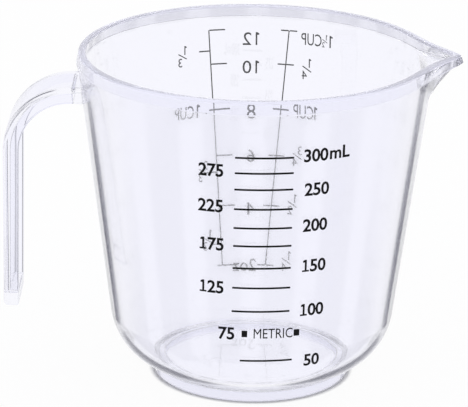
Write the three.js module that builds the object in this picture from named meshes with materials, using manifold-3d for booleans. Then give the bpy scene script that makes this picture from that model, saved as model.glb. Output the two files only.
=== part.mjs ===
// A clear moulded measuring cup: a tapered bowl on a foot ring, a rim band with a pouring spout,
// an open J-shaped handle and two printed scales.
// Millimetres, +Z up. The cup stands on z = 0 with its spout towards +X and its handle towards -X.
// The origin is the middle of the base of the box round the whole cup.
import * as THREE from 'three';
import { mergeVertices } from 'three/addons/utils/BufferGeometryUtils.js';
import Module from 'manifold-3d';

// Bowl
const cupHeight = 86;
const wallTopRadius = 45.25;      // outside of the wall, right under the rim band
const wallThickness = 1.4;
const wallDraft = 7.4;            // degrees that the wall leans outwards
const cornerRadius = 16.3;        // outside of the round corner between wall and floor

// Foot ring
const footHeight = 2.45;          // clear height under the floor
const footRadius = 25.5;          // outside of the ring
const footWidth = 2.1;
const footTaper = 0.25;           // the ring narrows by this much down to the table

// Rim band
const rimBandHeight = 3.25;
const rimOverhang = 0.4;          // how far the band stands proud of the wall
const rimTaper = 0.6;             // the band leans inwards by this much up to the mouth, inside and out
const rimEdge = 0.3;              // chamfer along the outside of the mouth

// Pouring spout
const spoutProjection = 7.1;      // tip beyond the rim band
const spoutDepth = 7.4;           // height of the wedge under the band
const spoutWedgeProjection = 5.8; // wedge beyond the wall, right under the band
const spoutLip = 0.5;             // extra thickness of the lip at the tip
const spoutLipRise = 1.1;         // the underside of the lip rises by this much out to the tip
const spoutHalfAngle = 54;        // degrees between the spout's middle line and its edges
const spoutTipRadius = 0.8;
const spoutBlend = 3;             // length over which the spout flows into the round rim
const spoutSpread = 28;           // degrees each side of the middle that belong to the spout

// Handle
const handleDrop = 8.6;           // top of the handle below the mouth
const handleFingerGap = 15.3;     // clear of the wall, level with the top of the handle
const handleWidth = 16.4;
const handleThickness = 4.2;
const handleEndThickness = 3.9;
const handleBendRadius = 17.2;
const handleLength = 58.9;        // from the top of the handle down to its open end
const handleWeb = 1.7;
const handleFlange = 1.5;
const handleEndBlock = 3.6;

// Printed scales
const printGap = 0.2;
const inkThickness = 0.2;
const inkLineHeight = 0.5;
const printTurn = 4;              // degrees that both scales are turned from square to the spout

// A mark is its volume and how far up its scale it is printed, from the lowest mark to the highest
const metricMarks = [
  [300, 1], [275, 0.926], [250, 0.847], [225, 0.752], [200, 0.66],
  [175, 0.572], [150, 0.463], [125, 0.365], [100, 0.248], [50, 0],
];
const metricTopDrop = 11.35;      // 300 mL line below the rim band
const metricLowLift = 11.85;      // 50 mL line above the floor
const metricLineLength = 14.4;
const metricLowLength = 13.1;     // the 50 mL line is shorter
const metricLowShift = 1.65;      // and stands this far towards the spout
const metricWordShare = 0.136;    // how far up the scale its name stands, between two squares
const metricWordShift = 2.65;     // and how far towards the spout
const squareWidth = 1.4;
const squareHeight = 1.8;
const squareSpacing = 13.1;

const ounceMarks = [[12, 1], [10, 0.857], [8, 0.664], [6, 0.472], [4, 0.257], [2, 0]];
const ouncesInCup = 8;
const thirdShares = [0.913, 0.402, 0.093]; // ticks for 4, 2 and 1 thirds of a cup
const ounceTopDrop = 3.8;         // 12 ounce tick below the rim band
const ounceLowLift = 11.45;       // 2 ounce tick above the floor
const tickLength = 4.5;
const tickTail = 1.4;             // what a crossing tick has past the upright
const ladderTopSpacing = 21.9;    // between the two uprights at the 12 ounce tick
const ladderLowSpacing = 12;      // and at the 2 ounce tick
const ladderTopShift = -0.6;      // middle of the two uprights towards the handle, at the 12 ounce tick
const ladderLowShift = 0.2;       // and at the 2 ounce tick
const uprightWidth = 0.4;

// Fineness and clearances
const turnSegments = 96;
const cornerSteps = 6;
const bendSteps = 10;
const inkSteps = 8;
const spoutRings = 4;
const seam = 0.3;                 // gap between neighbouring pieces
const spare = 3;                  // how far a cutting shape reaches past what it cuts
const weld = 1e-4;

// Sizes that follow from the ones above
const draft = THREE.MathUtils.degToRad(wallDraft);
const rimZ = cupHeight - rimBandHeight;
const floorZ = footHeight + wallThickness;
const cornerZ = footHeight + cornerRadius;
const cornerX = wallRadius(cornerZ) - cornerRadius / Math.cos(draft);
const cornerTopZ = cornerZ - cornerRadius * Math.sin(draft);
const levelWall = wallThickness / Math.cos(draft);
const rimLowerRadius = wallTopRadius + rimOverhang;
const rimUpperRadius = rimLowerRadius - rimTaper;
const spoutTip = rimLowerRadius + spoutProjection;
const spoutRootZ = rimZ - spoutDepth;
const spread = THREE.MathUtils.degToRad(spoutSpread);
const handleTopZ = cupHeight - handleDrop;
const handleReach = wallRadius(handleTopZ) + handleFingerGap + handleThickness;
const frontDirection = THREE.MathUtils.degToRad(printTurn - 90);
const backDirection = THREE.MathUtils.degToRad(printTurn + 90);

const clearPlastic = new THREE.MeshStandardMaterial({
  color: 0xf1f1fd, roughness: 0.08, metalness: 0, transparent: true, opacity: 0.35,
});
const blackInk = new THREE.MeshStandardMaterial({ color: 0x17171a, roughness: 0.55, metalness: 0 });

const wasm = await Module();
wasm.setup();

// Outside radius of the straight wall at a height.
function wallRadius(z) {
  return wallTopRadius - Math.tan(draft) * (rimZ - z);
}

// Outside radius of the bowl at a height, with the round corner.
function bowlRadius(z) {
  if (z >= cornerTopZ) return wallRadius(z);
  return cornerX + Math.sqrt(cornerRadius ** 2 - (cornerZ - z) ** 2);
}

// Underside of the bowl at a radius.
function undersideZ(radius) {
  const out = Math.max(radius - cornerX, 0);
  return cornerZ - Math.sqrt(cornerRadius ** 2 - out ** 2);
}

// A closed manifold from a three.js geometry, with pole slivers of a lathe dropped.
function solid(geometry) {
  const plain = geometry.clone();
  plain.deleteAttribute('normal');
  plain.deleteAttribute('uv');
  const merged = mergeVertices(plain, weld);
  const corners = merged.index.array;
  const triVerts = [];
  for (let i = 0; i < corners.length; i += 3) {
    const [a, b, c] = corners.slice(i, i + 3);
    if (a !== b && b !== c && c !== a) triVerts.push(a, b, c);
  }
  return new wasm.Manifold(new wasm.Mesh({
    numProp: 3,
    vertProperties: Float32Array.from(merged.attributes.position.array),
    triVerts: Uint32Array.from(triVerts),
  }));
}

function geometryOf(manifold) {
  const { vertProperties, triVerts } = manifold.getMesh();
  const geometry = new THREE.BufferGeometry();
  geometry.setAttribute('position', new THREE.BufferAttribute(vertProperties, 3));
  geometry.setIndex(new THREE.BufferAttribute(triVerts, 1));
  geometry.computeVertexNormals();
  return geometry;
}

// A solid of revolution about Z from [radius, height] pairs, drawn from the lower axis round the outside.
function turned(profile) {
  const points = profile.map(([radius, z]) => new THREE.Vector2(radius, z));
  return new THREE.LatheGeometry(points, turnSegments).rotateX(Math.PI / 2);
}

// A flat shape in X and Y, raised from one height to another.
function raised(shape, lowZ, highZ, curveSegments) {
  const settings = { depth: highZ - lowZ, bevelEnabled: false, curveSegments };
  return new THREE.ExtrudeGeometry(shape, settings).translate(0, 0, lowZ);
}

// Arc of the round corner, from its lowest point up to the wall.
function cornerArc(radius) {
  const arc = [];
  for (let i = 0; i <= cornerSteps; i += 1) {
    const angle = (Math.PI / 2 - draft) * (i / cornerSteps) - Math.PI / 2;
    arc.push([cornerX + radius * Math.cos(angle), cornerZ + radius * Math.sin(angle)]);
  }
  return arc;
}

// Rings of the wall where the spout is drawn out, each [radius, height, how far the spout stands out].
function spoutWall(inset) {
  const rings = [];
  for (let i = 0; i < spoutRings; i += 1) {
    const share = i / (spoutRings - 1);
    const z = spoutRootZ + spoutDepth * share;
    rings.push([wallRadius(z) - inset, z, spoutWedgeProjection * share]);
  }
  return rings;
}

// Draws the round body out along +X into a V with a small round tip, flowing into the rim. What lies under
// the lip rises as it is drawn out, so the lip thins towards its tip.
function drawSpout(geometry, profile) {
  const place = geometry.attributes.position;
  const edgeSlope = 1 / Math.tan(THREE.MathUtils.degToRad(spoutHalfAngle));
  for (let i = 0; i < place.count; i += 1) {
    const [radius, z, out = 0] = profile[i % profile.length];
    const x = place.getX(i);
    const y = place.getY(i);
    if (out > 0 && Math.abs(Math.atan2(y, x)) < spread) {
      const back = edgeSlope * (Math.hypot(y, spoutTipRadius) - spoutTipRadius);
      const drawn = radius + out - back;
      const near = Math.max(spoutBlend - Math.abs(drawn - x), 0) / spoutBlend;
      const pushed = Math.max(drawn, x) + (near ** 2 * spoutBlend) / 4;
      place.setX(i, pushed);
      if (z <= rimZ) place.setZ(i, z + (spoutLipRise * (pushed - x)) / spoutProjection);
    }
  }
  return geometry;
}

// The whole turned body: bowl, rim band and spout in one, before it is parted into its pieces.
function mouldedBody() {
  const profile = [
    [0, footHeight],
    ...cornerArc(cornerRadius),
    ...spoutWall(0),
    [rimLowerRadius, rimZ, spoutProjection],
    [rimUpperRadius, cupHeight - rimEdge, spoutProjection],
    [rimUpperRadius - rimEdge, cupHeight, spoutProjection],
    [wallRadius(rimZ) - levelWall - rimTaper, cupHeight, spoutProjection - spoutLip],
    ...spoutWall(levelWall).reverse(),
    ...cornerArc(cornerRadius - wallThickness).reverse(),
    [0, floorZ],
  ];
  return solid(drawSpout(turned(profile), profile));
}

// A pie slice round the middle of the spout.
function spoutSlice(halfAngle, lowZ) {
  const reach = spoutTip + spare;
  const edge = reach / Math.cos(halfAngle);
  const slice = new THREE.Shape();
  slice.moveTo(0, 0);
  slice.lineTo(edge * Math.cos(halfAngle), -edge * Math.sin(halfAngle));
  slice.lineTo(edge * Math.cos(halfAngle), edge * Math.sin(halfAngle));
  return solid(raised(slice, lowZ, cupHeight + spare, 1));
}

// Everything between two heights.
function slab(lowZ, highZ) {
  const side = 2 * (spoutTip + spare);
  return solid(new THREE.BoxGeometry(side, side, highZ - lowZ).translate(0, 0, (lowZ + highZ) / 2));
}

function partBody() {
  const body = mouldedBody();
  const opening = spoutSlice(spread, spoutRootZ - seam);
  const round = body.subtract(opening);
  return {
    bowl: round.intersect(slab(-spare, rimZ - seam)),
    rim: round.intersect(slab(rimZ, cupHeight + spare)),
    spout: body.intersect(spoutSlice(spread - seam / wallTopRadius, spoutRootZ)),
  };
}

function footRing() {
  const inner = footRadius - footWidth;
  const rise = (radius) => undersideZ(radius) - seam;
  return turned([
    [inner, 0],
    [footRadius - footTaper, 0],
    [footRadius, rise(footRadius)],
    [footRadius - footWidth / 2, rise(footRadius - footWidth / 2)],
    [inner, rise(inner)],
    [inner, 0],
  ]);
}

// Side view of the handle or of the channel in it, in [x, z], extruded across the cup along Y.
function handleStrip(outerInset, depth, endDepth, endZ, width) {
  const outerX = outerInset - handleReach;
  const bendX = handleBendRadius - handleReach;
  const bendZ = handleTopZ - handleBendRadius;
  const rootX = wallThickness - wallRadius(handleTopZ);
  const side = new THREE.Shape();
  side.moveTo(rootX, handleTopZ - outerInset);
  side.lineTo(bendX, handleTopZ - outerInset);
  side.absarc(bendX, bendZ, handleBendRadius - outerInset, Math.PI / 2, Math.PI, false);
  side.lineTo(outerX, endZ);
  side.lineTo(endDepth - handleReach, endZ);
  side.lineTo(depth - handleReach, bendZ);
  side.absarc(bendX, bendZ, handleBendRadius - depth, Math.PI, Math.PI / 2, true);
  side.lineTo(rootX, handleTopZ - depth);
  const strip = raised(side, -width / 2, width / 2, bendSteps);
  return solid(strip.rotateX(Math.PI / 2));
}

function handle() {
  const endZ = handleTopZ - handleLength;
  const strip = handleStrip(0, handleThickness, handleEndThickness, endZ, handleWidth);
  const channel = handleStrip(handleWeb, handleThickness + spare, handleEndThickness + spare,
    endZ + handleEndBlock, handleWidth - 2 * handleFlange);
  const wall = turned([
    [0, cornerTopZ],
    [wallRadius(cornerTopZ) + seam, cornerTopZ],
    [wallRadius(cupHeight) + seam, cupHeight],
    [0, cupHeight],
  ]);
  return strip.subtract(channel).subtract(solid(wall));
}

// Height of a printed mark that stands a share of the way up its scale.
function markHeight(share, topDrop, lowLift) {
  return THREE.MathUtils.lerp(floorZ + lowLift, rimZ - topDrop, share);
}

// A strip of ink that lies round the wall, from one distance along the wall to another.
function inkStrip(direction, from, to, z, height) {
  const inner = bowlRadius(z + height / 2) + printGap;
  const start = direction + from / inner;
  const end = direction + to / inner;
  const strip = new THREE.Shape();
  strip.absarc(0, 0, inner + inkThickness, start, end, false);
  strip.absarc(0, 0, inner, end, start, true);
  return raised(strip, z - height / 2, z + height / 2, inkSteps);
}

// A straight upright of ink between two points on the wall, each a distance along the wall and a height.
function inkUpright(direction, low, high) {
  const ends = [low, high].map(([along, z]) => {
    const radius = bowlRadius(z) + printGap + inkThickness / 2;
    const angle = direction + along / radius;
    return new THREE.Vector3(radius * Math.cos(angle), radius * Math.sin(angle), z);
  });
  const middle = ends[0].clone().lerp(ends[1], 0.5);
  const rise = ends[1].clone().sub(ends[0]);
  const upright = new THREE.BoxGeometry(uprightWidth, inkThickness, rise.length() + inkThickness);
  const up = rise.clone().normalize();
  const outward = new THREE.Vector3(middle.x, middle.y, 0);
  outward.addScaledVector(up, -outward.dot(up)).normalize();
  const across = new THREE.Vector3().crossVectors(outward, up);
  const turn = new THREE.Matrix4().makeBasis(across, outward, up).setPosition(middle);
  return solid(upright.applyMatrix4(turn));
}

// One column of the back scale: an upright with its ticks, as one print.
// Each tick is [share of the scale, where it starts, where it ends], along the wall from the upright.
function ladder(side, ticks) {
  const place = (share) => {
    const spacing = THREE.MathUtils.lerp(ladderLowSpacing, ladderTopSpacing, share);
    const shift = THREE.MathUtils.lerp(ladderLowShift, ladderTopShift, share);
    return [(side * spacing) / 2 + shift, markHeight(share, ounceTopDrop, ounceLowLift)];
  };
  const stretches = [];
  for (let i = 0; i < inkSteps; i += 1) {
    stretches.push(inkUpright(backDirection, place(i / inkSteps), place((i + 1) / inkSteps)));
  }
  for (const [share, from, to] of ticks) {
    const [along, z] = place(share);
    stretches.push(solid(inkStrip(backDirection, along + from, along + to, z, inkLineHeight)));
  }
  return geometryOf(stretches.reduce((column, stretch) => column.add(stretch)));
}

// Ounce ticks towards the middle of the scale, crossing the upright at a whole cup and at the lowest mark,
// and a tick on the outer side for each third.
function thirdsTicks() {
  const inward = ounceMarks.map(([ounces, share]) => {
    const crosses = ounces % ouncesInCup === 0 || share === 0;
    return [share, -tickLength, crosses ? tickTail : 0];
  });
  const outward = thirdShares.map((share) => [share, 0, tickLength - tickTail]);
  return [...inward, ...outward];
}

function quartersTicks() {
  return ounceMarks.map(([, share]) => [share, -tickLength / 2, tickLength / 2]);
}

const cup = new THREE.Group();

function addPiece(name, geometry, material) {
  const piece = new THREE.Mesh(geometry, material);
  piece.name = name;
  cup.add(piece);
}

const body = partBody();
addPiece('cup_bowl', geometryOf(body.bowl), clearPlastic);
addPiece('rim_band', geometryOf(body.rim), clearPlastic);
addPiece('pour_spout', geometryOf(body.spout), clearPlastic);
addPiece('foot_ring', footRing(), clearPlastic);
addPiece('handle', geometryOf(handle()), clearPlastic);

for (const [volume, share] of metricMarks) {
  const z = markHeight(share, metricTopDrop, metricLowLift);
  const [length, middle] = share === 0 ? [metricLowLength, metricLowShift] : [metricLineLength, 0];
  const line = inkStrip(frontDirection, middle - length / 2, middle + length / 2, z, inkLineHeight);
  addPiece(`metric_line_${String(volume).padStart(3, '0')}`, line, blackInk);
}

const wordZ = markHeight(metricWordShare, metricTopDrop, metricLowLift);
for (const [name, side] of [['left', -1], ['right', 1]]) {
  const start = metricWordShift + (side * squareSpacing - squareWidth) / 2;
  const square = inkStrip(frontDirection, start, start + squareWidth, wordZ, squareHeight);
  addPiece(`metric_square_${name}`, square, blackInk);
}

addPiece('thirds_ladder', ladder(1, thirdsTicks()), blackInk);
addPiece('quarters_ladder', ladder(-1, quartersTicks()), blackInk);

// The handle and the spout reach unequal distances from the axis, so the axis stands off the box's middle.
cup.position.x = (handleReach - spoutTip) / 2;

const measuringCup = new THREE.Group();
measuringCup.add(cup);

export default measuringCup;
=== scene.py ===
# %% [markdown]
# A clear measuring cup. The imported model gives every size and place, and this lesson dresses it:
# the moulding gets smooth surfaces and a clear plastic, the scales get their ink, numbers and words,
# and a small studio of white paper and dark cards shows them. Lengths are metres in Blender, so sizes
# that are written in millimetres are multiplied by mm where they are used.

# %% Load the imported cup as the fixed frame
import math

import bmesh
import bpy
from mathutils import Matrix, Vector


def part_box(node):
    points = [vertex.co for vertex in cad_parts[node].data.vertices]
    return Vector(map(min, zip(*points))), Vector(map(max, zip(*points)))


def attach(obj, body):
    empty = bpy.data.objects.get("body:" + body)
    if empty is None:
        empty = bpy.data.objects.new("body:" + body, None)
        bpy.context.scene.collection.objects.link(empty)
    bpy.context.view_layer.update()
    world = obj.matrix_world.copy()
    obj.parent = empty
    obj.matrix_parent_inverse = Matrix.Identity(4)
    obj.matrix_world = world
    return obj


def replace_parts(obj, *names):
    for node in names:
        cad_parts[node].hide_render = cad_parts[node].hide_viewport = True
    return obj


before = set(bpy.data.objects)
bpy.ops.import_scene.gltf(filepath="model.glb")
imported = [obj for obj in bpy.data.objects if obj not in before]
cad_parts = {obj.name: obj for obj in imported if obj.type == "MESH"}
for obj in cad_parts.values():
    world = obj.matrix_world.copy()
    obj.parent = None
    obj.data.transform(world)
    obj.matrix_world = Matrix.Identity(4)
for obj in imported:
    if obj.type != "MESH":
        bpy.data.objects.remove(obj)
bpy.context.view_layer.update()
scene = bpy.context.scene
scene.view_settings.view_transform = "Standard"
mm = 0.001
print("nodes in the frame:", len(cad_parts))

# %% [markdown]
# The cup is turned about an upright axis, but the handle and the spout reach out to different distances,
# so that axis isn't at the origin. The foot ring is round, and the middle of its box is the axis. The
# other nodes' boxes give the heights of the floor and the rim, so nothing is measured twice.

# %% Read the main sizes from the frame
foot_low, foot_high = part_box("foot_ring")
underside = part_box("cup_bowl")[0].z
rim_low, rim_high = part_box("rim_band")
spout_low, spout_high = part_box("pour_spout")
handle_low, handle_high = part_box("handle")

axis_x = (foot_low.x + foot_high.x) / 2
foot_radius = (foot_high.x - foot_low.x) / 2
brim = rim_high.z
band_bottom = rim_low.z
band_radius = (rim_high.y - rim_low.y) / 2
spout_root = spout_low.z
spout_tip = spout_high.x - axis_x

wall_draft = math.radians(7.4)
wall = 1.4 * mm
level_wall = wall / math.cos(wall_draft)
band_overhang = 0.4 * mm
wall_top_radius = band_radius - band_overhang
corner_radius = 16.3 * mm


def wall_radius(height):
    """Outside radius of the straight wall at a height."""
    return wall_top_radius - math.tan(wall_draft) * (band_bottom - height)


corner_height = underside + corner_radius
corner_out = wall_radius(corner_height) - corner_radius / math.cos(wall_draft)
corner_top = corner_height - corner_radius * math.sin(wall_draft)


def bowl_radius(height):
    """Outside radius of the bowl at a height, with its round lower corner."""
    if height >= corner_top:
        return wall_radius(height)
    return corner_out + math.sqrt(corner_radius ** 2 - (corner_height - height) ** 2)


print(f"axis at x {axis_x / mm:.2f} mm, mouth {2 * band_radius / mm:.1f} mm across")

# %% [markdown]
# The camera stands in front of the millilitre scale, a little above the brim, and far off with a long
# lens, which keeps the two sides of the cup nearly parallel. It is turned a degree towards the spout and
# rolled by less than a degree, as a hand-levelled camera is. Its matrix is built from its three axes.

# %% Camera
view_turn = math.radians(1.0)
view_rise = math.radians(18.81)
view_roll = math.radians(0.85)
view_distance = 855.1 * mm
view_target = Vector((axis_x - 4.99 * mm, -0.09 * mm, 44.81 * mm))
focal_length = 254.9
film_width = 36
sight_end = 20

level_right = Vector((math.cos(view_turn), math.sin(view_turn), 0))
towards_camera = Vector((math.sin(view_turn) * math.cos(view_rise),
                         -math.cos(view_turn) * math.cos(view_rise), math.sin(view_rise)))
level_up = towards_camera.cross(level_right)
right = math.cos(view_roll) * level_right + math.sin(view_roll) * level_up
up = math.cos(view_roll) * level_up - math.sin(view_roll) * level_right

camera_data = bpy.data.cameras.new("photo_camera")
camera_data.lens = focal_length
camera_data.sensor_width = film_width
camera_data.clip_end = sight_end
camera = bpy.data.objects.new("photo_camera", camera_data)
camera.matrix_world = Matrix((right, up, towards_camera)).transposed().to_4x4()
camera.location = view_target + view_distance * towards_camera
scene.collection.objects.link(camera)
scene.camera = camera
print("camera at", [round(c, 3) for c in camera.location])

# %% [markdown]
# Two small helpers serve every material: one turns an sRGB hex colour, as a paint program shows it, into
# the linear values that Blender mixes, and one adds a node with its settings and its links.


# %% Colour and node helpers
def linear(hex_colour):
    """Linear RGBA from an sRGB hex colour."""
    shares = [int(hex_colour[i:i + 2], 16) / 255 for i in (1, 3, 5)]
    return [s / 12.92 if s <= 0.04045 else ((s + 0.055) / 1.055) ** 2.4 for s in shares] + [1]


def add_node(tree, kind, inputs=None, **settings):
    """A node with its settings; an input is a plain value or another node's output socket."""
    node = tree.nodes.new(kind)
    for name, value in settings.items():
        setattr(node, name, value)
    for name, value in (inputs or {}).items():
        if isinstance(value, bpy.types.NodeSocket):
            tree.links.new(value, node.inputs[name])
        else:
            node.inputs[name].default_value = value
    return node


print("the middle grey of a paint program is", round(linear("#808080")[0], 3), "in linear light")

# %% [markdown]
# The cup is moulded in clear polystyrene. It bends light strongly, its polished mould leaves it glossy,
# and it has a faint lavender cast. It isn't perfectly clear: use leaves fine scuffs, mostly on the outside,
# that scatter a share of the light, so what stands behind a wall looks paler but stays sharp. Painting the
# scuffs as specks of rough surface, too small to see one by one, gives that haze and keeps the wall bright.
# The thick rim is a little milky too, so it scatters a share of the light as paint does. A moulded wall is
# never quite flat either, so a broad, very low swell bends what shows through it.

# %% Clear polystyrene
styrene_ior = 1.57
flow_size = 14 * mm
flow_height = 0.02 * mm
scuff_size = 0.08 * mm
scuff_from = 0.5    # the level of the fine noise where a scuff starts
scuff_edge = 0.02


def clear_styrene(name, tint, clear, polish, scuffed, flow):
    """Plastic that is clear for a share of its light; polished and scuffed roughness, and the swell."""
    material = bpy.data.materials.new(name)
    material.use_nodes = True
    tree = material.node_tree
    shader = tree.nodes["Principled BSDF"]
    shader.inputs["Base Color"].default_value = linear(tint)
    shader.inputs["IOR"].default_value = styrene_ior
    shader.inputs["Transmission Weight"].default_value = clear
    place = add_node(tree, "ShaderNodeTexCoord")
    specks = add_node(tree, "ShaderNodeTexNoise", {"Vector": place.outputs["Object"],
                                                   "Scale": 1 / scuff_size, "Detail": 1.0})
    gloss = add_node(tree, "ShaderNodeMapRange", {"Value": specks.outputs["Fac"], "From Min": scuff_from,
                                                  "From Max": scuff_from + scuff_edge, "To Min": polish,
                                                  "To Max": scuffed})
    swell = add_node(tree, "ShaderNodeTexNoise", {"Vector": place.outputs["Object"],
                                                  "Scale": 1 / flow_size, "Detail": 1.0})
    bump = add_node(tree, "ShaderNodeBump", {"Height": swell.outputs["Fac"], "Strength": flow,
                                             "Distance": flow_height})
    tree.links.new(gloss.outputs["Result"], shader.inputs["Roughness"])
    tree.links.new(bump.outputs["Normal"], shader.inputs["Normal"])
    return material


clear_wall = clear_styrene("clear_polystyrene_wall", "#fbfbff", 1.0, 0.0, 0.14, 0.2)
clear_inside = clear_styrene("clear_polystyrene_inside", "#fbfbff", 1.0, 0.0, 0.02, 0.2)
clear_rim = clear_styrene("clear_polystyrene_rim", "#f2f2fc", 0.85, 0.0, 0.03, 0.0)
clear_brim = clear_styrene("clear_polystyrene_brim", "#f2f2ff", 0.5, 0.0, 0.03, 0.0)
clear_foot = clear_styrene("clear_polystyrene_foot", "#ededf7", 1.0, 0.04, 0.1, 0.0)
clear_handle = clear_styrene("clear_polystyrene_handle", "#f8f8fe", 1.0, 0.0, 0.01, 0.0)
plastics = [clear_wall, clear_inside, clear_rim, clear_brim, clear_foot, clear_handle]
print("plastics:", [plastic.name for plastic in plastics])

# %% [markdown]
# Light runs along inside a clear wall, thrown from face to face, before it comes out. Blender stops a ray
# after a few such turns and paints it black, so rays are given more of them here.

# %% Longer light paths
scene.cycles.max_bounces = 128
scene.cycles.glossy_bounces = 96
scene.cycles.transmission_bounces = 32
print("turns a mirrored ray may take:", scene.cycles.glossy_bounces)

# %% [markdown]
# The bowl, the foot ring, the rim band and the spout are one moulding. It starts as its section, a line
# drawn from the middle of the underside round the outside and back to the middle of the floor. Straight
# stretches are edges between two vertices, and a round stretch is a vertex that is spun about the centre
# of its arc. A bevel on the corner vertices then gives each edge the small round that a mould leaves.

# %% Section of the moulding
foot_width = 2.1 * mm
foot_taper = 0.25 * mm
band_taper = 0.6 * mm
brim_round = 0.65 * mm
edge_round = 0.16 * mm
crease_round = 0.8 * mm
foot_round = 0.4 * mm
spout_depth = band_bottom - spout_root
spout_rings = 14
corner_steps = 24
round_steps = 8

section = bmesh.new()


def line_to(start, radius, height):
    """Draws a straight stretch of the section and gives its end."""
    end = section.verts.new((radius, 0, height))
    section.edges.new((start, end))
    return end


def arc_to(start, turn):
    """Draws a stretch of the round lower corner and gives its end."""
    swept = bmesh.ops.spin(section, geom=[start], cent=(corner_out, 0, corner_height), axis=(0, -1, 0),
                           angle=turn, steps=corner_steps)
    return swept["geom_last"][0]


foot_inner = foot_radius - foot_width
crease_turn = math.asin((foot_radius - corner_out) / corner_radius)
crease_height = corner_height - corner_radius * math.cos(crease_turn)
inner_crease = corner_height - math.sqrt(corner_radius ** 2 - (foot_inner - corner_out) ** 2)
band_lean = band_taper / (brim - band_bottom)
ring_heights = [spout_root + spout_depth * i / spout_rings for i in range(spout_rings + 1)]
inner_heights = ring_heights[:-1]
mouth_radius = wall_radius(inner_heights[-1]) - level_wall - band_lean * (brim - inner_heights[-1])

first = section.verts.new((0, 0, underside))
foot_root = line_to(first, foot_inner, inner_crease)
foot_inside = line_to(foot_root, foot_inner, 0)
foot_outside = line_to(foot_inside, foot_radius - foot_taper, 0)
crease = line_to(foot_outside, foot_radius, crease_height)
tip = arc_to(crease, math.pi / 2 - wall_draft - crease_turn)
for height in ring_heights:
    tip = line_to(tip, wall_radius(height), height)
band_corner = line_to(tip, band_radius, band_bottom)
brim_outside = line_to(band_corner, band_radius - band_taper, brim)
brim_inside = line_to(brim_outside, mouth_radius, brim)
tip = brim_inside
for height in reversed(inner_heights):
    tip = line_to(tip, wall_radius(height) - level_wall, height)
inner_arc_radius = corner_radius - wall
tip = line_to(tip, corner_out + inner_arc_radius * math.cos(wall_draft),
              corner_height - inner_arc_radius * math.sin(wall_draft))
tip = arc_to(tip, wall_draft - math.pi / 2)
line_to(tip, 0, underside + wall)

rounds = [(foot_root, crease_round), (foot_inside, edge_round), (foot_outside, foot_round),
          (crease, crease_round), (band_corner, edge_round), (brim_outside, brim_round),
          (brim_inside, brim_round)]
for corner, offset in rounds:
    bmesh.ops.bevel(section, geom=[corner], offset=offset, offset_type="OFFSET", affect="VERTICES",
                    segments=round_steps, profile=0.5, material=-1)
print("points in the section:", len(section.verts))

# %% [markdown]
# A full spin turns the section into the round body. The spout is then drawn out of it, as a potter pulls a
# lip: near the +X side, each ring of the wall is pushed out until it meets a V with a small round tip. The
# push grows from nothing at the root of the spout to its full reach at the band, and a soft maximum lets
# the V flow into the circle. What lies under the lip rises as it is pushed, so the lip thins towards its
# tip. At the end the normals are recalculated, because a spin can turn them.

# %% Spin the section and draw out the spout
turn_steps = 384
same_place = 0.001 * mm    # points nearer than this are merged
spout_wedge = 5.8 * mm
spout_lip = 0.5 * mm
spout_lip_rise = 1.1 * mm
spout_half_angle = math.radians(54)
spout_slope = 1 / math.tan(spout_half_angle)
spout_tip_radius = 0.8 * mm
spout_blend = 3 * mm
spout_spread = math.radians(28)
spout_projection = spout_tip - band_radius
brim_zone = 1.1 * brim_round
inner_side = 0.75 * level_wall    # points deeper in the wall than this are on its inside


def spout_reach(radius, height):
    """How far the spout stands out beyond the round body, for a point of the section."""
    wedge = spout_wedge * max(height - spout_root, 0) / spout_depth
    inside = min(wedge, spout_projection - spout_lip)
    if height > brim - brim_zone:
        across = (radius - mouth_radius) / (band_radius - band_taper - mouth_radius)
        return inside + (spout_projection - inside) * min(max(across, 0), 1)
    if radius < wall_radius(height) - inner_side:
        return inside
    on_band = radius > wall_top_radius + band_overhang / 4 or height > band_bottom + edge_round
    return spout_projection if on_band and height > band_bottom - edge_round else wedge


bmesh.ops.spin(section, geom=section.verts[:] + section.edges[:], cent=(0, 0, 0), axis=(0, 0, 1),
               angle=2 * math.pi, steps=turn_steps, use_merge=True)
bmesh.ops.remove_doubles(section, verts=section.verts, dist=same_place)
for vert in section.verts:
    radius = math.hypot(vert.co.x, vert.co.y)
    if vert.co.z > spout_root and abs(math.atan2(vert.co.y, vert.co.x)) < spout_spread:
        set_back = spout_slope * (math.hypot(vert.co.y, spout_tip_radius) - spout_tip_radius)
        drawn = radius + spout_reach(radius, vert.co.z) - set_back
        near = max(spout_blend - abs(drawn - vert.co.x), 0) / spout_blend
        pushed = max(drawn, vert.co.x) + near ** 2 * spout_blend / 4
        if vert.co.z < band_bottom + edge_round:
            vert.co.z += spout_lip_rise * (pushed - vert.co.x) / spout_projection
        vert.co.x = pushed
bmesh.ops.translate(section, verts=section.verts, vec=(axis_x, 0, 0))
bmesh.ops.recalc_face_normals(section, faces=section.faces)
print("faces of the moulding:", len(section.faces))

# %% [markdown]
# Every piece is finished in the same way. Its faces are shaded smooth, and edges sharper than an angle stay
# sharp. Weighted normals keep a broad face even beside its small rounds, as a polished mould leaves it.
# The moulding has five plastics, chosen face by face: one for the outside of the wall, and one each for the
# rim, the foot, the inside and the top of the brim, which are scuffed and tinted differently.

# %% Make a finished piece from a bmesh
sharp_from = math.radians(15)
broad_face_weight = 100
facing = 0.5    # the share of a normal from which a face looks that way
rim_slot, foot_slot, inside_slot, brim_slot = 1, 2, 3, 4


def finish_piece(name, bm, material):
    """An object at the origin, with flat shading kept across its sharp edges."""
    mesh = bpy.data.meshes.new(name)
    for face in bm.faces:
        face.smooth = True
    for edge in bm.edges:
        edge.smooth = edge.calc_face_angle(0) < sharp_from
    bm.to_mesh(mesh)
    bm.free()
    mesh.materials.append(material)
    piece = bpy.data.objects.new(name, mesh)
    scene.collection.objects.link(piece)
    even = piece.modifiers.new("even_faces", "WEIGHTED_NORMAL")
    even.weight = broad_face_weight
    even.keep_sharp = True
    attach(piece, "root")
    print(name, len(mesh.vertices), "vertices")
    return piece


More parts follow.
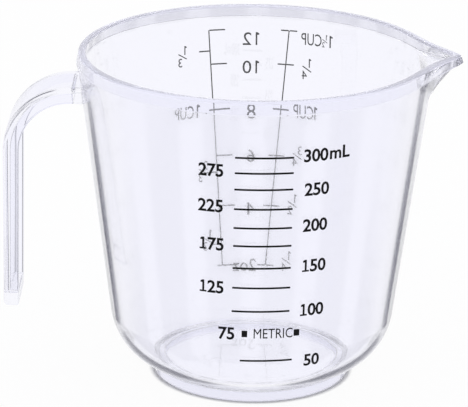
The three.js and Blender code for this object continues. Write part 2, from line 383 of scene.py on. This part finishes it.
for face in section.faces:
    middle = face.calc_center_median()
    outward = face.normal.dot(Vector((middle.x - axis_x, middle.y, 0)))
    if middle.z > brim - brim_round:
        face.material_index = brim_slot
    elif middle.z > band_bottom - edge_round and outward > 0:
        face.material_index = rim_slot
    elif middle.z < crease_height and math.hypot(middle.x - axis_x, middle.y) > foot_inner - crease_round:
        face.material_index = foot_slot
    elif outward < 0 or face.normal.z > facing:
        face.material_index = inside_slot
clear_cup = finish_piece("clear_cup", section, clear_wall)
for plastic in (clear_rim, clear_foot, clear_inside, clear_brim):
    clear_cup.data.materials.append(plastic)
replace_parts(clear_cup, "cup_bowl", "rim_band", "pour_spout", "foot_ring")

# %% [markdown]
# The handle is a J-shaped strip with a channel on the side of the fingers, which keeps the plastic thin.
# Its side view is drawn like the section above, filled with one face and extruded across the cup. The
# faces that look at the fingers are then inset and pushed in, which leaves two flanges and a solid end.

# %% Handle
handle_width = handle_high.y - handle_low.y
handle_thick = 4.2 * mm
handle_end_thick = 3.9 * mm
handle_bend = 17.2 * mm
handle_web = 1.7 * mm
handle_flange = 1.5 * mm
handle_end_block = 3.6 * mm
channel_draft = 0.1 * mm
handle_outer_round = 1.0 * mm
handle_inner_round = 0.4 * mm
handle_seat = 0.05 * mm
handle_sharp = math.radians(40)
near_line = 0.02 * mm
near_root = 0.1 * mm
facing_aside = 0.1
bend_steps = 20

strip = bmesh.new()
outer_x = handle_low.x
bend_x = outer_x + handle_bend
bend_z = handle_high.z - handle_bend
root_x = axis_x - wall_radius(handle_high.z)
block_z = handle_low.z + handle_end_block - handle_flange
block_share = (bend_z - block_z) / (bend_z - handle_low.z)
block_thick = handle_thick + (handle_end_thick - handle_thick) * block_share


def strip_line(start, x, z):
    """Draws a straight stretch of the side view and gives its end."""
    end = strip.verts.new((x, -handle_width / 2, z))
    strip.edges.new((start, end))
    return end


def strip_bend(start, turn):
    """Draws the upper bend of the side view and gives its end."""
    swept = bmesh.ops.spin(strip, geom=[start], cent=(bend_x, 0, bend_z), axis=(0, -1, 0), angle=turn,
                           steps=bend_steps)
    return swept["geom_last"][0]


root_top = strip.verts.new((root_x, -handle_width / 2, handle_high.z))
tip = strip_line(root_top, bend_x, handle_high.z)
tip = strip_bend(tip, math.pi / 2)
tip = strip_line(tip, outer_x, handle_low.z)
tip = strip_line(tip, outer_x + handle_end_thick, handle_low.z)
tip = strip_line(tip, outer_x + block_thick, block_z)
tip = strip_line(tip, outer_x + handle_thick, bend_z)
tip = strip_bend(tip, -math.pi / 2)
tip = strip_line(tip, root_x, handle_high.z - handle_thick)
strip.edges.new((tip, root_top))
bmesh.ops.contextual_create(strip, geom=strip.edges[:])
grown = bmesh.ops.extrude_face_region(strip, geom=strip.faces[:], use_keep_orig=True)
moved = [item for item in grown["geom"] if isinstance(item, bmesh.types.BMVert)]
bmesh.ops.translate(strip, verts=moved, vec=(0, handle_width, 0))
bmesh.ops.recalc_face_normals(strip, faces=strip.faces)


def faces_fingers(face):
    """True for the faces along the inside of the J, between its root and its solid end."""
    middle = face.calc_center_median()
    inside = face.normal.x > facing or face.normal.z < -facing
    between = middle.z > block_z and middle.x < root_x - near_root
    return inside and between and abs(face.normal.y) < facing_aside


channel = [face for face in strip.faces if faces_fingers(face)]
for width, depth in ((handle_flange, 0), (channel_draft, handle_web - handle_thick)):
    bmesh.ops.inset_region(strip, faces=channel, thickness=width, depth=depth, use_boundary=True,
                           use_even_offset=True)
for vert in strip.verts:
    if vert.co.x > root_x - near_root:
        seat = wall_radius(vert.co.z) + handle_seat
        vert.co.x = axis_x - math.sqrt(seat ** 2 - vert.co.y ** 2)


def on_outside(vert):
    """True for a vertex on the outer line of the J."""
    if vert.co.z < bend_z:
        return abs(vert.co.x - outer_x) < near_line
    reach = math.hypot(min(vert.co.x - bend_x, 0), vert.co.z - bend_z)
    return abs(reach - handle_bend) < near_line


for outside, offset in ((True, handle_outer_round), (False, handle_inner_round)):
    sharp = [edge for edge in strip.edges if edge.calc_face_angle(0) > handle_sharp
             and min(vert.co.x for vert in edge.verts) < root_x - handle_outer_round
             and all(on_outside(vert) for vert in edge.verts) == outside]
    bmesh.ops.bevel(strip, geom=sharp, offset=offset, offset_type="OFFSET", affect="EDGES",
                    segments=round_steps, profile=0.5, material=-1)
handle = finish_piece("handle_channel", strip, clear_handle)
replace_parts(handle, "handle")

# %% [markdown]
# Both scales are screen printed in black ink. The film is far thinner than a hair, and its surface is
# satin, with a grain from the screen's mesh. The grain is drawn at half a millimetre, coarser than the
# real mesh, so that it can be seen at all.

# %% Screen printing ink
screen_mesh = 0.5 * mm
ink_shine = 0.15
satin_smooth, satin_rough = 0.4, 0.7


def printed_ink(name, colour):
    """Satin ink whose roughness follows the grain of the screen."""
    material = bpy.data.materials.new(name)
    material.use_nodes = True
    tree = material.node_tree
    shader = tree.nodes["Principled BSDF"]
    shader.inputs["Base Color"].default_value = linear(colour)
    shader.inputs["Specular IOR Level"].default_value = ink_shine
    place = add_node(tree, "ShaderNodeTexCoord")
    grain = add_node(tree, "ShaderNodeTexNoise", {"Vector": place.outputs["Object"],
                                                  "Scale": 1 / screen_mesh})
    satin = add_node(tree, "ShaderNodeMapRange", {"Value": grain.outputs["Fac"], "To Min": satin_smooth,
                                                  "To Max": satin_rough})
    tree.links.new(satin.outputs["Result"], shader.inputs["Roughness"])
    return material


ink = printed_ink("screen_ink_black", "#060607")
print("ink:", ink.name)

# %% [markdown]
# Everything that is printed starts as a flat sheet of artwork, with X along the wall, Y the height and Z
# the thickness of the film, and one function bends the sheet on to the cup. Distances along the wall turn
# into angles about the axis, so a straight line of the sheet becomes a level ring, as on the real cup.

# %% Flat artwork and how it is bent on to the wall
print_turn = math.radians(4)
front = print_turn - math.pi / 2
back = print_turn + math.pi / 2
ink_film = 0.06 * mm
ink_lift = 0.06 * mm


def lay(sheet, art, along, height, turn=0):
    """Adds a piece of artwork to a sheet, turned about its own origin and moved to its place."""
    bmesh.ops.transform(art, verts=art.verts,
                        matrix=Matrix.Translation((along, height, 0)) @ Matrix.Rotation(turn, 4, "Z"))
    flat = bpy.data.meshes.new("flat")
    art.to_mesh(flat)
    art.free()
    sheet.from_mesh(flat)
    bpy.data.meshes.remove(flat)


def print_sheet(name, sheet, side):
    """Bends a sheet on to one side of the cup and makes a piece of it."""
    for vert in sheet.verts:
        radius = bowl_radius(vert.co.y)
        angle = side + vert.co.x / radius
        lifted = radius + ink_lift + vert.co.z
        vert.co = (axis_x + lifted * math.cos(angle), lifted * math.sin(angle), vert.co.y)
    return finish_piece(name, sheet, ink)


def wall_place(node, side):
    """Where a packed print lies on its sheet: middle along the wall, height, and the bar's two sizes."""
    low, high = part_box(node)
    height = (low.z + high.z) / 2
    edges = []
    for x in (low.x, high.x):
        angle = math.acos(max(-1, min(1, (x - axis_x) / bowl_radius(height))))
        edges.append((math.copysign(angle, math.sin(side)) - side) * bowl_radius(height))
    return sum(edges) / 2, height, abs(edges[1] - edges[0]), high.z - low.z


print("the scales are turned", round(math.degrees(print_turn)), "degrees from square to the spout")

# %% [markdown]
# A stroke of ink is one flat face with its corners rounded by a bevel, cut across every millimetre or so
# because it has to follow the round wall, and extruded by the thickness of the film.

# %% Strokes of the millilitre scale
stroke_pitch = 0.8 * mm
stroke_corner = 0.12 * mm
stroke_corner_steps = 3


def thicken(art):
    """Extrudes flat artwork by the thickness of the film."""
    grown = bmesh.ops.extrude_face_region(art, geom=art.faces[:], use_keep_orig=True)
    moved = [item for item in grown["geom"] if isinstance(item, bmesh.types.BMVert)]
    bmesh.ops.translate(art, verts=moved, vec=(0, 0, ink_film))
    bmesh.ops.recalc_face_normals(art, faces=art.faces)
    return art


def ink_stroke(length, height):
    """A flat bar of ink about the origin, as a closed bmesh."""
    bm = bmesh.new()
    bmesh.ops.create_grid(bm, x_segments=1, y_segments=1, size=0.5)
    bmesh.ops.scale(bm, verts=bm.verts, vec=(length, height, 1))
    bmesh.ops.bevel(bm, geom=bm.verts[:], offset=stroke_corner, offset_type="OFFSET", affect="VERTICES",
                    segments=stroke_corner_steps, profile=0.5, material=-1)
    cuts = int(length / stroke_pitch)
    for i in range(1, cuts):
        bmesh.ops.bisect_plane(bm, geom=bm.verts[:] + bm.edges[:] + bm.faces[:],
                               plane_co=(length * (i / cuts - 0.5), 0, 0), plane_no=(1, 0, 0))
    return thicken(bm)


metric_place = {}
for node in sorted(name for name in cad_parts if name.startswith("metric_")):
    along, height, length, tall = metric_place[node] = wall_place(node, front)
    bar = bmesh.new()
    lay(bar, ink_stroke(length, tall), along, height)
    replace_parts(print_sheet("ink_" + node, bar, front), node)

# %% [markdown]
# Words and most figures are text objects in Blender's own font. Each is extruded by the thickness of the
# film, turned into a mesh and merged, because the faces of converted text don't share their vertices. A
# small offset of the outline makes the strokes bolder, and a stretch makes the letters wider or narrower.

# %% Words in Blender's own font
figure_height = 0.7    # of a figure of the font at size 1
letter_merge = 1e-5    # at size 1, points nearer than this are merged
letter_curve_steps = 3


def printed_words(words, tall, stretch, bold):
    """Flat artwork of a few characters, with the origin in their middle."""
    lettering = bpy.data.curves.new("lettering", "FONT")
    lettering.body = words
    lettering.align_x = "CENTER"
    lettering.resolution_u = letter_curve_steps
    lettering.offset = bold
    size = tall / figure_height
    lettering.extrude = ink_film / size / 2
    text_object = bpy.data.objects.new("lettering", lettering)
    scene.collection.objects.link(text_object)
    evaluated = text_object.evaluated_get(bpy.context.evaluated_depsgraph_get())
    mesh = bpy.data.meshes.new_from_object(evaluated)
    art = bmesh.new()
    art.from_mesh(mesh)
    bpy.data.objects.remove(text_object)
    bpy.data.curves.remove(lettering)
    bpy.data.meshes.remove(mesh)
    bmesh.ops.remove_doubles(art, verts=art.verts, dist=letter_merge)
    bmesh.ops.translate(art, verts=art.verts, vec=(0, -figure_height / 2, ink_film / size / 2))
    bmesh.ops.scale(art, verts=art.verts, vec=(size * stretch, size, size))
    bmesh.ops.recalc_face_normals(art, faces=art.faces)
    return art


print("a figure's height is", figure_height, "of the font's size")

# %% [markdown]
# The font's figure 1 is a bare stroke, but the printed one has a flag, and on the millilitre scale a base
# bar too, so it is drawn as an outline of a few vertices. Printed figures also take equal room, whatever
# their shape, so a number is set figure by figure in cells of one width.

# %% Figures in equal cells
one_reach = 0.27    # of the height, from the middle of a 1 to the ends of its base bar
one_flag = 0.91     # of the height, where its flag ends
one_flag_reach = 0.8 * one_reach
one_bar = 0.85      # of the stem's width, the thickness of the base bar and the flag
one_left = 0.45     # of the stem's width, the share that lies left of the middle


def figure_one(tall, stem, based):
    """A figure 1 in one outline, with or without a base bar; its stem's width is a share of its height."""
    bar = one_bar * stem
    left, right = -one_left * stem, (1 - one_left) * stem
    foot = [(left, 0), (right, 0)]
    if based:
        foot = [(left, bar), (-one_reach, bar), (-one_reach, 0), (one_reach, 0), (one_reach, bar),
                (right, bar)]
    flag = [(right, 1), (left, 1), (-one_flag_reach, one_flag), (-one_flag_reach, one_flag - bar),
            (left, one_flag - bar)]
    outline = bmesh.new()
    outline.faces.new([outline.verts.new((x * tall, (y - 0.5) * tall, 0)) for x, y in foot + flag])
    return thicken(outline)


def lay_number(sheet, figures, middle, height, style):
    """Sets figures about a middle; a style is height, cell, stretch, boldness, and a 1's stem and base."""
    tall, cell, stretch, bold, stem, based = style
    for i, figure in enumerate(figures):
        art = figure_one(tall, stem, based) if figure == "1" else printed_words(figure, tall, stretch, bold)
        lay(sheet, art, middle + (i - (len(figures) - 1) / 2) * cell, height)


print("a figure 1 with a base is", 2 * one_reach, "of its height across")

# %% [markdown]
# The numbers of the millilitre scale stand left and right of its lines by turns, a little above or below
# them. Their gaps and rises, in millimetres, are those of the artwork. The highest mark names the unit.

# %% Numbers and words of the millilitre scale
number_style = (3.3 * mm, 2.15 * mm, 0.95, 0.022, 0.155, True)
number_tall, number_cell, number_stretch, number_bold = number_style[:4]
left_labels = {"275": (2.65, 0.5), "225": (2.6, 0.6), "175": (2.2, 0.2), "125": (2.0, -0.1)}
right_labels = {"300": (2.35, 0.3), "250": (2.9, -0.3), "200": (2.75, 0.35), "150": (2.75, 0.2),
                "100": (2.6, -0.1), "50": (3.1, -0.6)}
unit_gap = 0.25 * mm
unit_width = 5.7 * mm
unit_rise = 0.15 * mm
square_gap = 1.65 * mm
name_tall = 2.75 * mm
name_stretch = 0.75
name_bold = 0.0
name_aside = 0.6 * mm
name_rise = 0.15 * mm

numbers = bmesh.new()
for side, labels in ((-1, left_labels), (1, right_labels)):
    for figures, (gap, rise) in labels.items():
        along, height, length = metric_place[f"metric_line_{figures.zfill(3)}"][:3]
        reach = length / 2 + gap * mm + number_cell * len(figures) / 2
        lay_number(numbers, figures, along + side * reach, height + rise * mm, number_style)
        if figures == "300":
            number_end = along + reach + number_cell * len(figures) / 2
            lay(numbers, printed_words("mL", number_tall, number_stretch, number_bold),
                number_end + unit_gap + unit_width / 2, height + (rise * mm + unit_rise))
left_square, name_height, square_width = metric_place["metric_square_left"][:3]
right_square = metric_place["metric_square_right"][0]
lone_number = left_square - square_width / 2 - square_gap - number_cell
lay_number(numbers, "75", lone_number, name_height, number_style)
print_sheet("metric_numbers", numbers, front)

word = bmesh.new()
lay(word, printed_words("METRIC", name_tall, name_stretch, name_bold),
    (left_square + right_square) / 2 + name_aside, name_height + name_rise)
print_sheet("metric_word", word, front)

# %% [markdown]
# The back scale is in ounces and cups: two leaning uprights with ticks, ounce figures between them, and
# fractions of a cup outside. Each mark stands a share of the way up the scale, between the lowest and the
# highest tick of the frame, and the uprights lean apart by the same shares.

# %% Uprights and ticks of the ounce scale
upright_width = 0.3 * mm
tick_height = 0.34 * mm
packed_tick_height = 0.5 * mm
tick_length = 4.5 * mm
tick_tail = 1.4 * mm
top_spacing, low_spacing = 21.9 * mm, 12 * mm
top_shift, low_shift = -0.6 * mm, 0.2 * mm
ounce_shares = {12: 1, 10: 0.857, 8: 0.664, 6: 0.472, 4: 0.257, 2: 0}
third_shares = {4: 0.913, 2: 0.402, 1: 0.093}
ladder_low, ladder_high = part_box("quarters_ladder")
low_tick = ladder_low.z + packed_tick_height / 2
high_tick = ladder_high.z - packed_tick_height / 2


def mark_height(share):
    """How high a mark stands, at a share of the scale."""
    return low_tick + (high_tick - low_tick) * share


def upright_along(side, share):
    """Where an upright stands along the wall, at a share of the scale."""
    spacing = low_spacing + (top_spacing - low_spacing) * share
    return side * spacing / 2 + low_shift + (top_shift - low_shift) * share


def ladder(side, ticks):
    """A sheet with one upright and its ticks; a tick is (share, reach outwards, reach inwards)."""
    sheet = bmesh.new()
    run = upright_along(side, 1) - upright_along(side, 0)
    rise = high_tick - low_tick
    lay(sheet, ink_stroke(math.hypot(run, rise), upright_width), upright_along(side, 0.5), mark_height(0.5),
        math.atan2(rise, run))
    for share, outwards, inwards in ticks:
        for reach, way in ((outwards, side), (inwards, -side)):
            length = reach - upright_width / 2
            if length > 0:
                lay(sheet, ink_stroke(length, tick_height),
                    upright_along(side, share) + way * (reach + upright_width / 2) / 2, mark_height(share))
    return sheet


inner_ticks = [(share, tick_tail if ounces in (8, 2) else 0, tick_length)
               for ounces, share in ounce_shares.items()]
third_ticks = [(share, tick_length - tick_tail, 0) for share in third_shares.values()]
even_ticks = [(share, tick_length / 2, tick_length / 2) for share in ounce_shares.values()]
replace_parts(print_sheet("ink_thirds_ladder", ladder(1, inner_ticks + third_ticks), back), "thirds_ladder")
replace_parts(print_sheet("ink_quarters_ladder", ladder(-1, even_ticks), back), "quarters_ladder")

# %% [markdown]
# The ounce figures stand between the uprights, in a lighter weight than the millilitres. Each has its own
# rise in millimetres: the highest one hangs under its tick. The lowest one names the unit.

# %% Ounce figures
ounce_style = (3.45 * mm, 2.55 * mm, 1.1, 0.0, 0.13, False)
ounce_tall, ounce_bold = ounce_style[0], ounce_style[3]
figures_aside = -1.45 * mm
figure_rises = {12: -2.5, 10: -1.0, 8: -0.7, 6: -0.2, 4: -0.9}
unit_words_stretch = 0.9

figures = bmesh.new()
for ounces, rise in figure_rises.items():
    height = mark_height(ounce_shares[ounces]) + rise * mm
    lay_number(figures, str(ounces), figures_aside, height, ounce_style)
lay(figures, printed_words("2oz", ounce_tall, unit_words_stretch, ounce_bold), 0, mark_height(0))
print_sheet("ounce_figures", figures, back)

# %% [markdown]
# A fraction is two small figures with a slash between them, the upper one to the left and the lower one to
# the right, as read from behind the cup. The fractions are set a little closer together than the ticks.

# %% Fractions of a cup
small_style = (2.35 * mm, 1.5 * mm, 0.95, 0.0, 0.13, False)
small_apart = 3.2 * mm
small_aside = 1.4 * mm
slash_length = 2.9 * mm
slash_turn = math.radians(30)
slash_width = 0.28 * mm
fraction_rise = 1.5 * mm
fraction_drop = 2.6 * mm


def lay_fraction(sheet, upper, lower, along, height, share=1.0):
    """Adds a stacked fraction to a sheet, with its slash at the given place."""
    style = (small_style[0] * share, *small_style[1:])
    for figure, way in ((upper, 1), (lower, -1)):
        lay_number(sheet, figure, along - way * share * small_aside / 2,
                   height + way * share * small_apart / 2, style)
    lay(sheet, ink_stroke(slash_length * share, slash_width * share), along, height, slash_turn)


def fraction_height(share):
    """How high a fraction stands: above its mark low on the scale, and below it near the top."""
    return mark_height(share) + fraction_rise - fraction_drop * share


quarters_out = 5.9 * mm
quarters = bmesh.new()
for ounces, upper, lower in ((10, "1", "4"), (6, "3", "4"), (4, "1", "2"), (2, "1", "4")):
    share = ounce_shares[ounces]
    lay_fraction(quarters, upper, lower, upright_along(-1, share) - quarters_out, fraction_height(share))

thirds_out = {4: 7.9 * mm, 2: 4.1 * mm, 1: 3.9 * mm}
thirds = bmesh.new()
for count, upper in ((4, "1"), (2, "2"), (1, "1")):
    share = third_shares[count]
    lay_fraction(thirds, upper, "3", upright_along(1, share) + thirds_out[count], fraction_height(share))
print("vertices of the fractions:", len(quarters.verts) + len(thirds.verts))

# %% [markdown]
# Whole cups are written out. The words are narrow and thin, and stand beside the ticks of 8 and 12 ounces.

# %% Cup words
cup_tall = 3.2 * mm
cup_style = (cup_tall, 1.5 * mm, 0.9, 0.0, 0.12, False)
cup_stretch = 0.68
top_word_drop = 1.8 * mm
half_share = 0.6
top_one, top_half, top_word = -23.3 * mm, -21.7 * mm, -17.9 * mm
quarter_one, quarter_word = -19.4 * mm, -16.1 * mm
third_one, third_word = 13.7 * mm, 17.6 * mm


def lay_cups(sheet, one_along, word_along, height):
    """Writes one cup: its figure, and the unit's name at its own place."""
    lay_number(sheet, "1", one_along, height, cup_style)
    lay(sheet, printed_words("CUP", cup_tall, cup_stretch, cup_style[3]), word_along, height)


word_height = mark_height(ounce_shares[8])
top_height = mark_height(1) - top_word_drop
lay_cups(quarters, top_one, top_word, top_height)
lay_fraction(quarters, "1", "2", top_half, top_height, half_share)
lay_cups(quarters, quarter_one, quarter_word, word_height)
lay_cups(thirds, third_one, third_word, word_height)
print_sheet("quarter_fractions", quarters, back)
print_sheet("third_fractions", thirds, back)

# %% [markdown]
# The floor is a plain pale sheet. A studio lights it until it looks white, so here the camera sees a white
# glow laid over it. Close to the foot ring the glow ends and the floor's own shade shows, the thin dark line
# where a thing touches a table. What looks through the plastic doesn't see the floor, but the disc and the
# surroundings of the next cells: a studio for clear things, with bright paper straight behind and dark cards
# just out of sight. A clear wall shows the paper through its middle, but near its outline it bends the light
# sideways and shows the cards.

# %% Floor
floor_glow = 0.95
floor_half = 3
floor_drop = 0.1 * mm
paper_roughness = 0.9
shade_width = 1.2 * mm
floor_mesh = bpy.data.meshes.new("floor")
paper = bmesh.new()
bmesh.ops.create_grid(paper, x_segments=1, y_segments=1, size=floor_half)
bmesh.ops.translate(paper, verts=paper.verts, vec=(0, 0, -floor_drop))
paper.to_mesh(floor_mesh)
paper.free()
floor = bpy.data.objects.new("floor", floor_mesh)
floor.visible_transmission = False
floor.visible_glossy = False
scene.collection.objects.link(floor)

floor_material = bpy.data.materials.new("pale_paper")
floor_material.use_nodes = True
tree = floor_material.node_tree
rays = add_node(tree, "ShaderNodeLightPath")
shader = tree.nodes["Principled BSDF"]
shader.inputs["Base Color"].default_value = linear("#f2f2f4")
shader.inputs["Roughness"].default_value = paper_roughness
white = add_node(tree, "ShaderNodeEmission", {"Color": linear("#ffffff")})
place = add_node(tree, "ShaderNodeTexCoord")
from_axis = add_node(tree, "ShaderNodeVectorMath", {0: place.outputs["Object"], 1: (axis_x, 0, 0)},
                     operation="DISTANCE")
glow = add_node(tree, "ShaderNodeMapRange", {"Value": from_axis.outputs["Value"], "From Min": foot_radius,
                                             "From Max": foot_radius + shade_width, "To Max": floor_glow})
share = add_node(tree, "ShaderNodeMath", {0: rays.outputs["Is Camera Ray"], 1: glow.outputs["Result"]},
                 operation="MULTIPLY")
sheet = add_node(tree, "ShaderNodeMixShader", {0: share.outputs["Value"], 1: shader.outputs["BSDF"],
                                               2: white.outputs["Emission"]})
tree.links.new(sheet.outputs["Shader"], tree.nodes["Material Output"].inputs["Surface"])
floor_mesh.materials.append(floor_material)
print("the floor's own shade shows up to", round(shade_width / mm, 1), "mm from the foot ring")

# %% [markdown]
# A disc of white paper lies right under the cup. The floor of the cup looks down on it and stays even and
# bright. Only what a surface has bent sees the disc, and for what it has mirrored the disc is clear.

# %% White disc under the cup
through = "#fbfbff"    # the white that shows through the plastic
once = 0.5    # a depth above this says that a ray was turned in that way at least once
disc_radius = 36 * mm
disc_sides = 96
disc_drop = 0.05 * mm
disc_mesh = bpy.data.meshes.new("white_disc")
circle = bmesh.new()
bmesh.ops.create_circle(circle, cap_ends=True, segments=disc_sides, radius=disc_radius)
bmesh.ops.translate(circle, verts=circle.verts, vec=(axis_x, 0, -disc_drop))
circle.to_mesh(disc_mesh)
circle.free()
disc = bpy.data.objects.new("white_disc", disc_mesh)
disc.visible_camera = False
disc.visible_diffuse = False
disc.visible_shadow = False
scene.collection.objects.link(disc)

disc_material = bpy.data.materials.new("white_disc_paper")
disc_material.use_nodes = True
tree = disc_material.node_tree
rays = add_node(tree, "ShaderNodeLightPath")
mirrored = add_node(tree, "ShaderNodeMath", {0: rays.outputs["Glossy Depth"], 1: once},
                    operation="GREATER_THAN")
white = add_node(tree, "ShaderNodeEmission", {"Color": linear(through)})
clear = add_node(tree, "ShaderNodeBsdfTransparent")
sheet = add_node(tree, "ShaderNodeMixShader", {0: mirrored.outputs["Value"], 1: white.outputs["Emission"],
                                               2: clear.outputs["BSDF"]})
tree.links.new(sheet.outputs["Shader"], tree.nodes["Material Output"].inputs["Surface"])
disc_mesh.materials.append(disc_material)
print("white disc", round(2 * disc_radius / mm), "mm across")

# %% [markdown]
# The surroundings are a world, painted by direction. White paper is nearly everywhere, and dark cards
# stand on every side of the cup. They are painted twice. What a wall only bends comes from a dark ring
# round the line of sight, open above, where the rim looks, and straight below: it draws the outlines of
# the wall. What a wall has mirrored comes from cards further out. Tall ones draw its dark edges, and low
# ones draw the round corner at the bottom.

# %% Directions round the cup
quarter = math.radians(45)
half = math.radians(90)
studio = bpy.data.worlds.new("studio")
scene.world = studio
studio.use_nodes = True
tree = studio.node_tree
tree.nodes.clear()
rays = add_node(tree, "ShaderNodeLightPath")
place = add_node(tree, "ShaderNodeTexCoord")
axes = add_node(tree, "ShaderNodeSeparateXYZ", {"Vector": place.outputs["Generated"]})
bearing = add_node(tree, "ShaderNodeMath", {0: axes.outputs["X"], 1: axes.outputs["Y"]},
                   operation="ARCTAN2")
aside = add_node(tree, "ShaderNodeMath", {0: bearing.outputs["Value"], 1: quarter}, operation="PINGPONG")
off_front = add_node(tree, "ShaderNodeMath", {0: bearing.outputs["Value"], 1: half}, operation="PINGPONG")
rise = add_node(tree, "ShaderNodeMath", {0: axes.outputs["Z"]}, operation="ARCSINE")
above = add_node(tree, "ShaderNodeMath", {0: rise.outputs["Value"], 1: view_rise}, operation="ADD")
off_sight = add_node(tree, "ShaderNodeCombineXYZ", {"X": aside.outputs["Value"],
                                                    "Y": above.outputs["Value"]})
swing = add_node(tree, "ShaderNodeVectorMath", {0: off_sight.outputs["Vector"]}, operation="LENGTH")
print("the ring lies round a line of sight", round(math.degrees(view_rise), 1), "degrees below the level")

# %% [markdown]
# A card has a lower and an upper edge, or a left and a right one. So a card shows only in a window of one
# angle, between two limits, and fades over its edges. The limits are degrees, those of the heights counted
# from the line of sight.

# %% Where the cards show
card_edge = math.radians(3)
ring_window = (-11, 9)
ring_side_window = (8, 60)
tall_window = (-5.2, -2.8)
low_window = (-34, -11)


def window(angle, low, high):
    """1 where an angle lies between two limits in degrees, fading over the edge of a card."""
    reach = math.radians((high - low) / 2)
    off = add_node(tree, "ShaderNodeMath", {0: angle, 1: math.radians((low + high) / 2)},
                   operation="SUBTRACT")
    away = add_node(tree, "ShaderNodeMath", {0: off.outputs["Value"]}, operation="ABSOLUTE")
    shown = add_node(tree, "ShaderNodeMapRange", {"Value": away.outputs["Value"], "From Min": reach,
                                                  "From Max": reach + card_edge, "To Min": 1.0,
                                                  "To Max": 0.0})
    return shown.outputs["Result"]


under = window(above.outputs["Value"], *ring_window)
beside = window(aside.outputs["Value"], *ring_side_window)
ring_shows = add_node(tree, "ShaderNodeMath", {0: under, 1: beside}, operation="MULTIPLY").outputs["Value"]
tall_show = window(above.outputs["Value"], *tall_window)
low_show = window(above.outputs["Value"], *low_window)
print("the low cards stand from", low_window[0], "to", low_window[1], "degrees off the line of sight")

# %% [markdown]
# Each set of cards is a row of stops: an angle in degrees, and a level from 1 for white paper to nearly 0
# for a dark card. Light Path says what a ray has met. A ray that was only bent sees the ring, one that was
# mirrored inside the plastic sees the tall and the low cards, and one that its outer surface mirrored sees
# the cards of the shine. The camera itself sees plain white.

# %% Surroundings
bent_ring = [(0, 1.0), (15, 1.0), (16.5, 0.05), (24, 0.05), (27, 0.65), (42, 0.65), (45, 1.0)]
tall_cards = [(0, 1.0), (8, 1.0), (10, 0.0), (18, 0.0), (20, 1.0), (24.5, 1.0), (26, 0.02),
              (36.5, 0.02), (38, 1.0), (52, 1.0), (54, 0.8), (62, 0.8), (64, 1.0)]
shine_cards = [(0, 0.92), (27, 0.92), (28.5, 0.03), (40, 0.03), (41.5, 0.92)]
low_cards = [(0, 1.0), (6, 1.0), (11, 0.05), (34, 0.05), (38, 1.0)]
room = linear("#f6f6fb")
card_cast = 0.04    # the cards are dark with a lavender cast


def dark_cards(stops, angle, span, shown, plain):
    """The colour of each direction: cards by an angle where they show, and a plain colour elsewhere."""
    turned = add_node(tree, "ShaderNodeMapRange", {"Value": angle, "From Max": span})
    ramp = add_node(tree, "ShaderNodeValToRGB", {"Fac": turned.outputs["Result"]})
    for _ in stops[2:]:
        ramp.color_ramp.elements.new(1)
    for element, (degrees, level) in zip(ramp.color_ramp.elements, stops):
        element.position = math.radians(degrees) / span
        element.color = (level, level, level + card_cast * (1 - level), 1)
    cards = add_node(tree, "ShaderNodeMix", {"Factor": shown, 6: plain, 7: ramp.outputs["Color"]},
                     data_type="RGBA")
    return cards.outputs[2]


bent = dark_cards(bent_ring, swing.outputs["Value"], quarter, ring_shows, linear(through))
thrown = dark_cards(tall_cards, off_front.outputs["Value"], half, tall_show, linear("#ffffff"))
thrown = dark_cards(low_cards, aside.outputs["Value"], quarter, low_show, thrown)
within = add_node(tree, "ShaderNodeMath", {0: rays.outputs["Transmission Depth"], 1: once},
                  operation="GREATER_THAN")
mirrored = add_node(tree, "ShaderNodeMath", {0: rays.outputs["Glossy Depth"], 1: once},
                    operation="GREATER_THAN")
outer = dark_cards(shine_cards, off_front.outputs["Value"], half, tall_show, room)
shine = add_node(tree, "ShaderNodeMix", {"Factor": within.outputs["Value"], 6: outer, 7: thrown},
                 data_type="RGBA")
around = add_node(tree, "ShaderNodeMix", {"Factor": mirrored.outputs["Value"], 6: bent, 7: shine.outputs[2]},
                  data_type="RGBA")
seen = add_node(tree, "ShaderNodeMix", {"Factor": rays.outputs["Is Camera Ray"], 6: around.outputs[2],
                                        7: linear("#ffffff")}, data_type="RGBA")
background = add_node(tree, "ShaderNodeBackground", {"Color": seen.outputs[2], "Strength": 1.0})
add_node(tree, "ShaderNodeOutputWorld", {"Surface": background.outputs["Background"]})
print("the ring is dark from", bent_ring[2][0], "to", bent_ring[3][0], "degrees off the line of sight")
